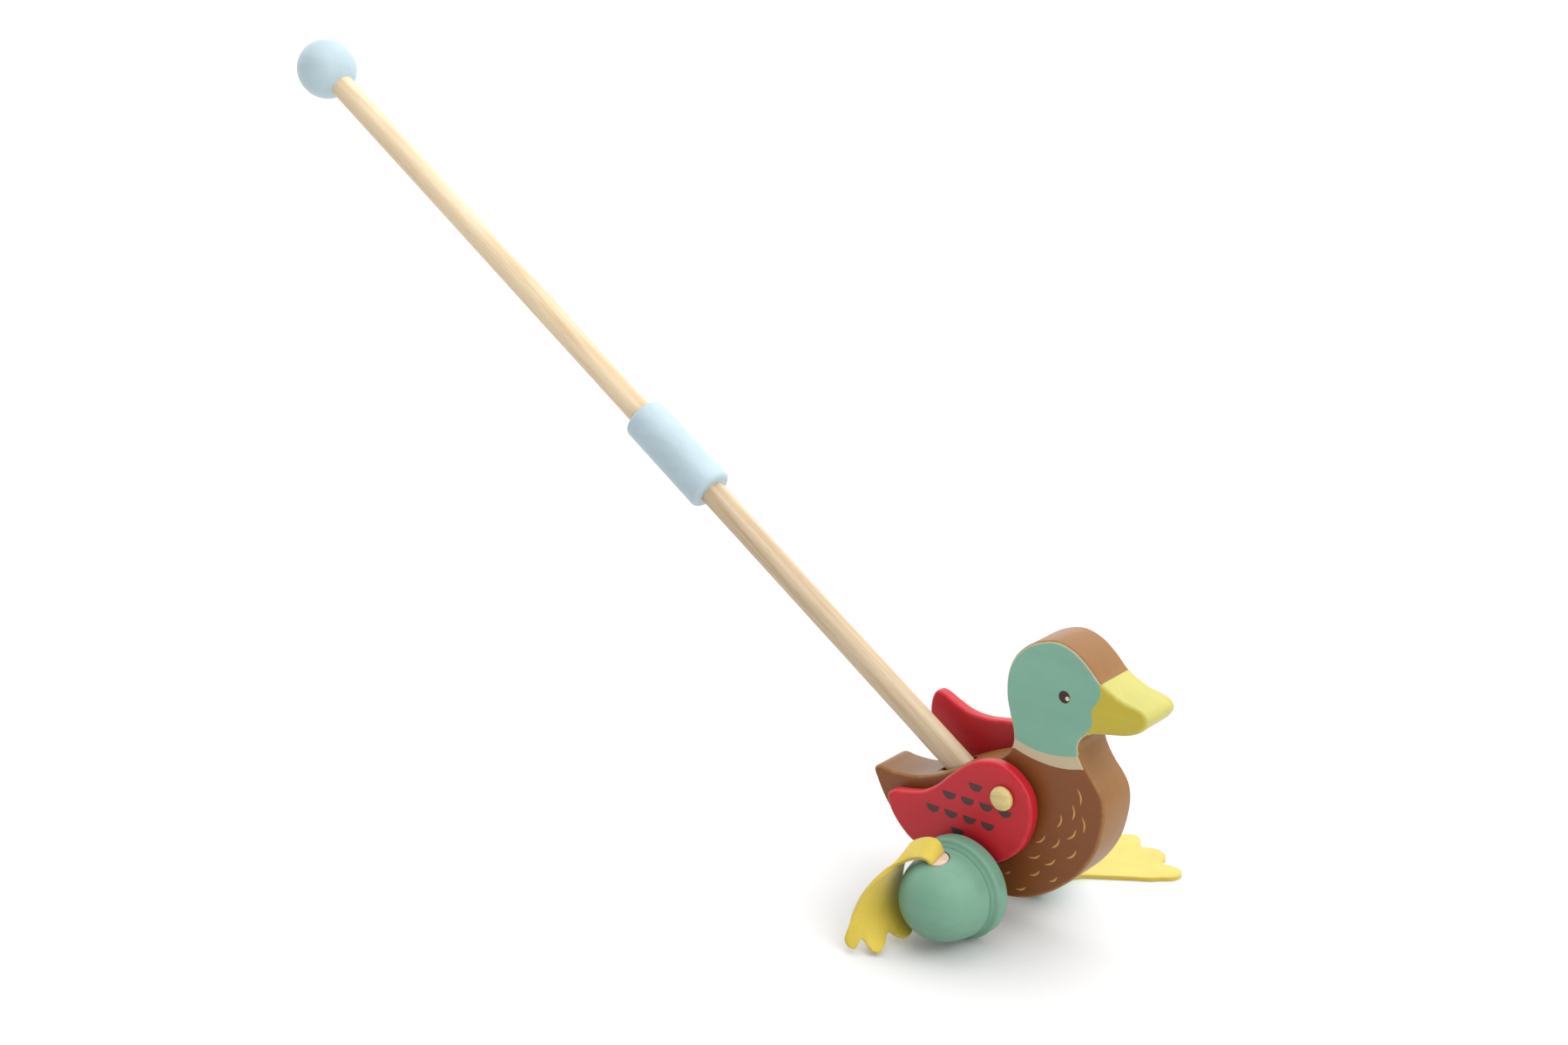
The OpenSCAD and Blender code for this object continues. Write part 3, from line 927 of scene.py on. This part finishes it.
# half a dowel wedged beside the strap, its cut end a little crowned
def makePlug(name, node, side):
    radius = wheelSetup["hole"] - wheelSetup["plugGap"]
    top = -wheelSetup["plugSink"]
    bottom = -wheelSetup["holeDepth"] + wheelSetup["plugFoot"]
    count = 28
    turns = [math.radians(-90 + 180 * i / count) for i in range(count + 1)]
    work = bmesh.new()
    levels = [(bottom, 0.0), (top - 0.7, 0.0), (top - 0.2, 0.25), (top, 0.8)]
    rings = []
    for height, draw in levels:
        reach = radius - draw
        places = [Vector((max(reach * math.cos(a), draw), reach * math.sin(a), height)) for a in turns]
        rings.append([work.verts.new(place * mm) for place in places])
    for lower, upper in zip(rings, rings[1:]):
        for i in range(count + 1):
            j = (i + 1) % (count + 1)
            work.faces.new((lower[i], lower[j], upper[j], upper[i]))
    work.faces.new(rings[0][::-1])
    work.faces.new(rings[-1])
    bmesh.ops.recalc_face_normals(work, faces=work.faces)
    mesh = bpy.data.meshes.new(name)
    work.to_mesh(mesh)
    work.free()
    mesh.transform(holeFrame(side))
    mesh.materials.append(plugWood)
    smoothShade(mesh, 30)
    finishPiece(newObject(name, mesh), "wheelset", "plug_wood", node)


for sideName, sideSign in (("right", -1), ("left", 1)):
    makeWheel(sideName + "Wheel", "wheel_" + sideName, sideSign)
    makePlug(sideName + "Plug", "strap_plug_" + sideName, sideSign)
print("wheels made")


# leather feet: one flat pattern, carried onto the rows that each foot hangs or lies along
footSetup = {
    "halfPattern": [(-8, 6), (4, 6), (16, 6), (20, 6.7), (26, 9.2), (34, 13.3), (44, 18.6), (54, 23.6),
                    (62, 26.8), (67.6, 28.4), (71.8, 27.4), (74.2, 24.4), (74.3, 20.4), (72.4, 16.2),
                    (70.6, 13.4), (70, 11.2), (71.6, 8.9), (74.8, 6.6), (77, 3.6), (77.6, 0)],
    "strap": 6.0, "flareFrom": 18.0, "flareTo": 60.0, "widest": 28.5, "grid": 2.6,
    "thickness": 2.3, "edge": 0.45,
    "leftForward": 1.5, "leftBehind": 0.6,
    "rightBend": [(-0.004, -0.05, 0.056), (-0.009, -0.05, 0.056)],  # metres
    "leftBend": (0.0022, 0.0516, 0.003), "leftBendRun": 0.007}
# distance from the strap's bend, then the outer edge, middle and inner edge there
rightRows = [
    (-8, (-2.2, -53.7, 43.1), (-2.2, -47.9, 44.7), (-2.2, -42.1, 46.2)),
    (0, (-2.8, -55.8, 50.9), (-2.8, -50, 52.5), (-2.8, -44.2, 54.1)),
    (5.5, (-6, -56.6, 52.6), (-5.3, -51.2, 56), (-4.7, -45.6, 59.6)),
    (10, (-10.4, -56.8, 51.6), (-9.9, -51.3, 55.5), (-9.6, -45.8, 59.5)),
    (14.5, (-14.9, -57.6, 49.6), (-14.8, -52.2, 53.6), (-14.8, -46.6, 57.4)),
    (21, (-19.8, -60.8, 46.2), (-19.4, -55.2, 50.3), (-19.5, -48.8, 53.8)),
    (30.5, (-25.1, -68.5, 41.5), (-22.9, -59.8, 43.5), (-23.2, -48.6, 44.6)),
    (40, (-30, -75.4, 33.5), (-26.3, -63, 34.9), (-26.5, -46, 35.4)),
    (50, (-33.7, -80, 23.6), (-28.1, -66, 25.5), (-28, -44, 26.7)),
    (60, (-35.9, -82.8, 13.7), (-27.8, -69, 16.8), (-27, -44, 17.5)),
    (69, (-35.7, -84, 6.2), (-25, -73, 9.3), (-19, -48.5, 8.6)),
    (76, (-32.1, -84.2, 1.9), (-19.8, -77.4, 4), (-11.5, -52.5, 3.9)),
    (80, (-27.4, -84, 1.5), (-16.4, -80, 1.8), (-7, -55.5, 2.3))]


# distance from the bend and height over the floor
leftHeights = [(-8, 12.2), (-2, 6.8), (1, 3.9), (4, 2.2), (8, 1.6), (14, 1.35), (20, 1.3), (30, 1.3),
               (45, 1.3), (60, 1.3), (80, 1.3)]
leftYaw = math.radians(wheelSetup["yaw"])
leftHeading = Vector((math.cos(leftYaw), math.sin(leftYaw), 0))


def leftRow(distance, height, half):
    across = Vector((-leftHeading.y, leftHeading.x, 0))
    start = Vector((footSetup["leftForward"], wheelSetup["holeSide"], height))
    middle = start + leftHeading * max(distance, -footSetup["leftBehind"])
    return (distance, middle + across * half, middle, middle - across * half)


def halfWidth(distance):
    share = (distance - footSetup["flareFrom"]) / (footSetup["flareTo"] - footSetup["flareFrom"])
    share = min(max(share, 0), 1)
    return footSetup["strap"] + (footSetup["widest"] - footSetup["strap"]) * share


def acrossRow(row, v):
    outer, centre, inner = (Vector(p) for p in row[1:])
    return outer * (v * (v + 1) / 2) + centre * (1 - v * v) + inner * (v * (v - 1) / 2)


def onLeather(rows, distance, sideways):
    index = max(i for i in range(len(rows) - 1) if rows[i][0] <= distance or i == 0)
    share = (distance - rows[index][0]) / (rows[index + 1][0] - rows[index][0])
    v = sideways / halfWidth(distance)
    near = [rows[min(max(index + k, 0), len(rows) - 1)] for k in (-1, 0, 1, 2)]
    place = curvePoint(*(acrossRow(row, v) for row in near), min(max(share, 0), 1.1))
    place.z = max(place.z, footSetup["thickness"] / 2)
    return place


def footPattern():
    half = [Vector(p) for p in footSetup["halfPattern"]]
    corners = half + [Vector((p.x, -p.y)) for p in half[-2::-1]]
    edge = openCurve(corners, 5)
    spacing = footSetup["grid"]
    inner = []
    for i in range(-3, 32):
        for k in range(-12, 13):
            point = Vector((i * spacing, (k + 0.5 * (i % 2)) * spacing))
            if insideLoop(point, edge):
                if min((point - e).length for e in edge) > 0.45 * spacing:
                    inner.append(point)
    sides = [(i, (i + 1) % len(edge)) for i in range(len(edge))]
    found = delaunay_2d_cdt(edge + inner, sides, [], 0, 1e-4)
    kept = []
    for triangle in found[2]:
        if insideLoop(sum((found[0][i] for i in triangle), Vector((0, 0))) / 3, edge):
            kept.append(triangle)
    return found[0], kept


def makeFoot(name, rows, body, bendStart, bendEnd, *nodes):
    flat, triangles = footPattern()
    mesh = bpy.data.meshes.new(name)
    mesh.from_pydata([onLeather(rows, p.x, p.y) * mm for p in flat], [], triangles)
    work = bmesh.new()
    work.from_mesh(mesh)
    bmesh.ops.recalc_face_normals(work, faces=work.faces)
    edgeLayer = work.verts.layers.float.new("edge")
    for vertex in work.verts:
        vertex[edgeLayer] = 1.0 if vertex.is_boundary else 0.0
    work.to_mesh(mesh)
    work.free()
    mesh.materials.append(leatherFinish)
    foot = newObject(name, mesh)
    thick = foot.modifiers.new("thick", "SOLIDIFY")
    thick.thickness = footSetup["thickness"] * mm
    thick.offset = 0
    thick.use_even_offset = True
    rounded = foot.modifiers.new("rounded", "BEVEL")
    rounded.width = footSetup["edge"] * mm
    rounded.segments = 2
    rounded.limit_method = "ANGLE"
    rounded.angle_limit = math.radians(55)
    bake(foot)
    smoothShade(foot.data, 50)
    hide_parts(*nodes)
    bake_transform(foot)


leftRows = [leftRow(distance, height, halfWidth(distance)) for distance, height in leftHeights]
makeFoot("rightFoot", rightRows, "right_foot", *footSetup["rightBend"],
         "foot_right", "foot_tab_right")
leftBend = Vector(footSetup["leftBend"])
makeFoot("leftFoot", leftRows, "left_foot", leftBend, leftBend + leftHeading * footSetup["leftBendRun"],
         "foot_left", "foot_tab_left")
print("feet made")


# dowels and washers between the wheels and the body keep their shape and take a wood finish
for hiddenNode in ("axle", "hub_spacer_right", "hub_spacer_left",
                   "wing_washer_right", "wing_washer_left"):
    hiddenPiece = frame["nodes"][hiddenNode]
    hiddenPiece.data.materials.clear()
    hiddenPiece.data.materials.append(pegWood if "washer" in hiddenNode else hiddenWood)
print("dowels finished")


# floor and studio light
studioSetup = {"floor": 0.66, "floorReach": 40.0,
               "backdrop": 1.75, "nearSide": 0.4, "behind": (-0.63, 0.77, 0.1),
               "topPower": 2.3, "topSpread": 80, "topFrom": (0.35, 0.1, 1),
               "sidePower": 1.5, "sideSpread": 60, "sideFrom": (1, -0.1, 0.5)}


def addSoftLight(name, power, spread, source):
    lightData = bpy.data.lights.new(name, "SUN")
    lightData.energy = power
    lightData.angle = math.radians(spread)
    light = bpy.data.objects.new(name, lightData)
    light.rotation_euler = Vector(source).to_track_quat("Z", "Y").to_euler()
    scene.collection.objects.link(light)


# the room is bright behind the toy and dimmer on the near side
def makeRoom():
    room = bpy.data.worlds.new("studio")
    room.use_nodes = True
    scene.world = room
    board = NodeBoard(room.node_tree)
    way = board.add("ShaderNodeTexCoord", output="Generated")
    behind = Vector(studioSetup["behind"]).normalized()
    facing = board.add("ShaderNodeVectorMath", {"operation": "DOT_PRODUCT"}, {0: way, 1: behind}, "Value")
    strength = board.add("ShaderNodeMapRange", {"interpolation_type": "SMOOTHSTEP"},
                         {"Value": facing, "From Min": -0.2, "From Max": 0.6,
                          "To Min": studioSetup["nearSide"], "To Max": studioSetup["backdrop"]}, "Result")
    background = room.node_tree.nodes["Background"]
    background.inputs["Color"].default_value = (1, 1, 1, 1)
    board.feed(background.inputs["Strength"], strength)


def makeStudio():
    floorMesh = bpy.data.meshes.new("floor")
    reach = studioSetup["floorReach"]
    corners = [(-reach, -reach, 0), (reach, -reach, 0), (reach, reach, 0), (-reach, reach, 0)]
    floorMesh.from_pydata(corners, [], [(0, 1, 2, 3)])
    floorFinish = Finish("floor paper", {"Specular IOR Level": 0.0})
    paper = floorFinish.noise(300, 3)
    level = studioSetup["floor"]
    tone = floorFinish.blendColour(paper, (level, level, level, 1), shade((level, level, level), 0.98))
    grain = floorFinish.bump(paper, 0.03, 0.0002)
    floorMesh.materials.append(floorFinish.done(tone, 0.9 + paper * 0.05, grain))
    newObject("floor", floorMesh)
    makeRoom()
    addSoftLight("topLight", studioSetup["topPower"], studioSetup["topSpread"], studioSetup["topFrom"])
    addSoftLight("sideLight", studioSetup["sidePower"], studioSetup["sideSpread"], studioSetup["sideFrom"])
    scene.view_settings.view_transform = "Standard"


makeStudio()
print("studio set")
